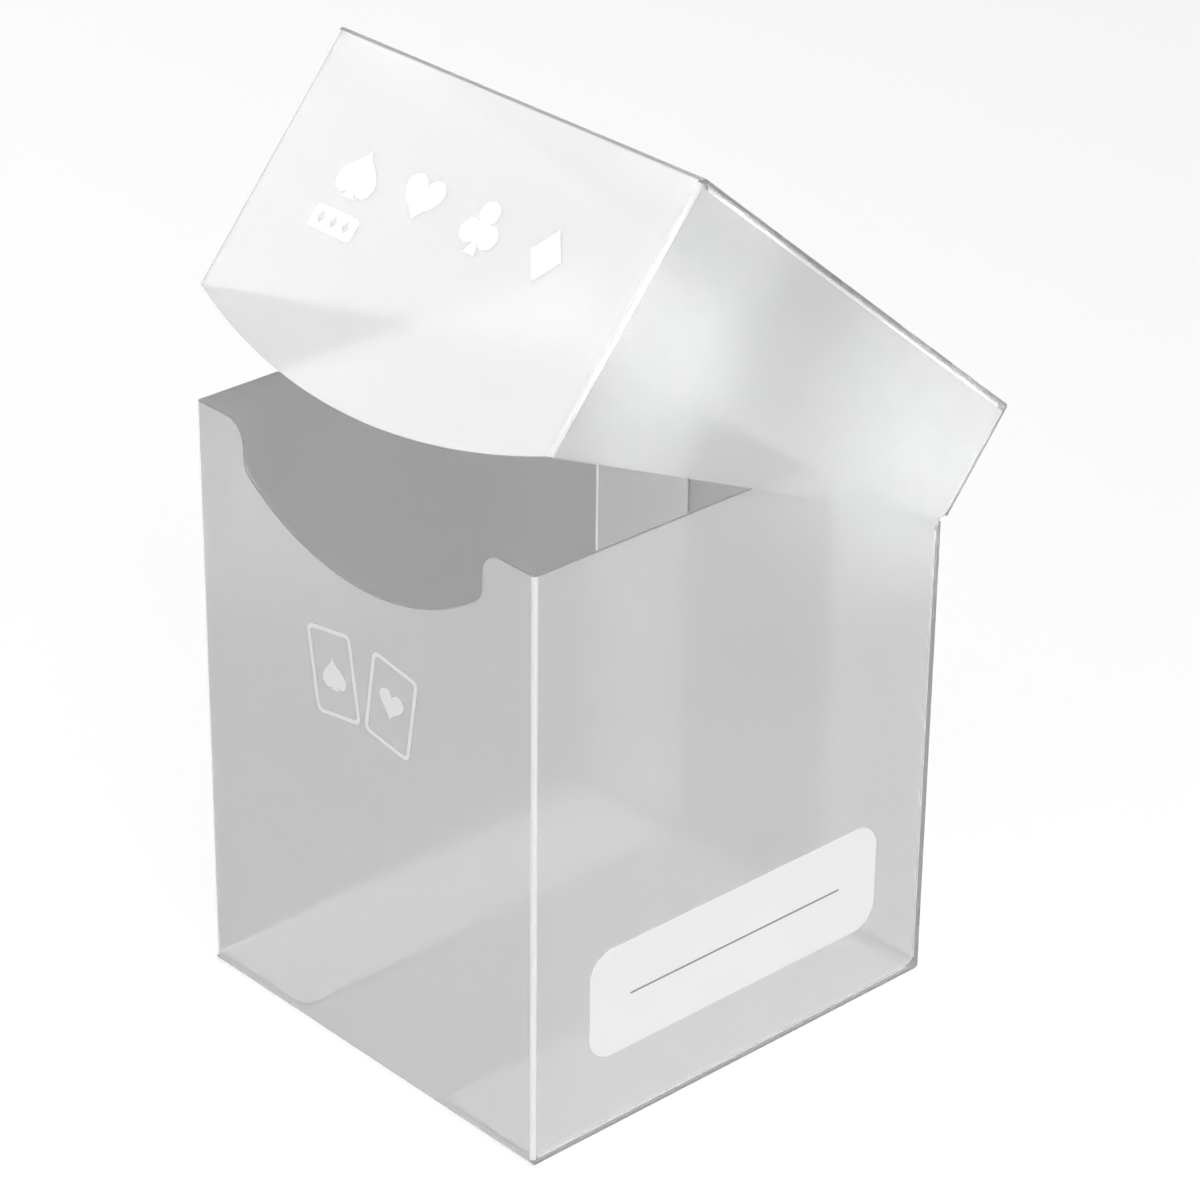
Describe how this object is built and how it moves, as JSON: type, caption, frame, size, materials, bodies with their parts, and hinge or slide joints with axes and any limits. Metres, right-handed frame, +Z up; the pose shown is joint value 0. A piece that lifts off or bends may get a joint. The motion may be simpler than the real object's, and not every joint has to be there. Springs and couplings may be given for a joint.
{
  "type": "card deck box",
  "caption": "Open-top card deck box folded from frosted plastic sheet, with a thumb notch, a write-on label and a flip lid on a living hinge.",
  "frame": {"origin": "middle of the underside, on the surface that the box stands on", "axes": "+Z up; -Y towards the front wall with the thumb notch; +X towards the wall with the label; the hinge line runs along X at the back"},
  "size_m": [0.0732, 0.0915, 0.1408],
  "materials": {
    "frosted_sheet": "frosted translucent polypropylene",
    "living_hinge": "creased translucent polypropylene, stress-whitened",
    "label_film": "matt white write-on film"
  },
  "bodies": {
    "case": {"front_wall": "frosted_sheet", "back_wall": "frosted_sheet", "base_panel": "frosted_sheet", "left_wall": "frosted_sheet", "right_wall": "frosted_sheet", "left_rear_flap": "frosted_sheet", "right_rear_flap": "frosted_sheet", "left_base_flap": "frosted_sheet", "right_base_flap": "frosted_sheet", "front_base_fold": "frosted_sheet", "back_base_fold": "frosted_sheet", "left_front_fold": "frosted_sheet", "right_front_fold": "frosted_sheet", "left_rear_fold": "frosted_sheet", "right_rear_fold": "frosted_sheet", "left_base_fold": "frosted_sheet", "right_base_fold": "frosted_sheet", "label": "label_film", "hinge_crease": "living_hinge"},
    "lid": {"lid_back": "frosted_sheet", "lid_top": "frosted_sheet", "lid_front": "frosted_sheet", "lid_rear_fold": "frosted_sheet", "lid_front_fold": "frosted_sheet", "lid_left_wall": "frosted_sheet", "lid_right_wall": "frosted_sheet", "lid_left_front_fold": "frosted_sheet", "lid_right_front_fold": "frosted_sheet", "lid_left_top_fold": "frosted_sheet", "lid_right_top_fold": "frosted_sheet", "lid_left_top_flap": "frosted_sheet", "lid_right_top_flap": "frosted_sheet"}
  },
  "joints": [
    {"name": "lid_hinge", "type": "hinge", "parent": "case", "child": "lid", "pos_m": [0, 0.03865, 0.0757], "axis": [-1, 0, 0], "range_deg": [-40, 125]}
  ]
}
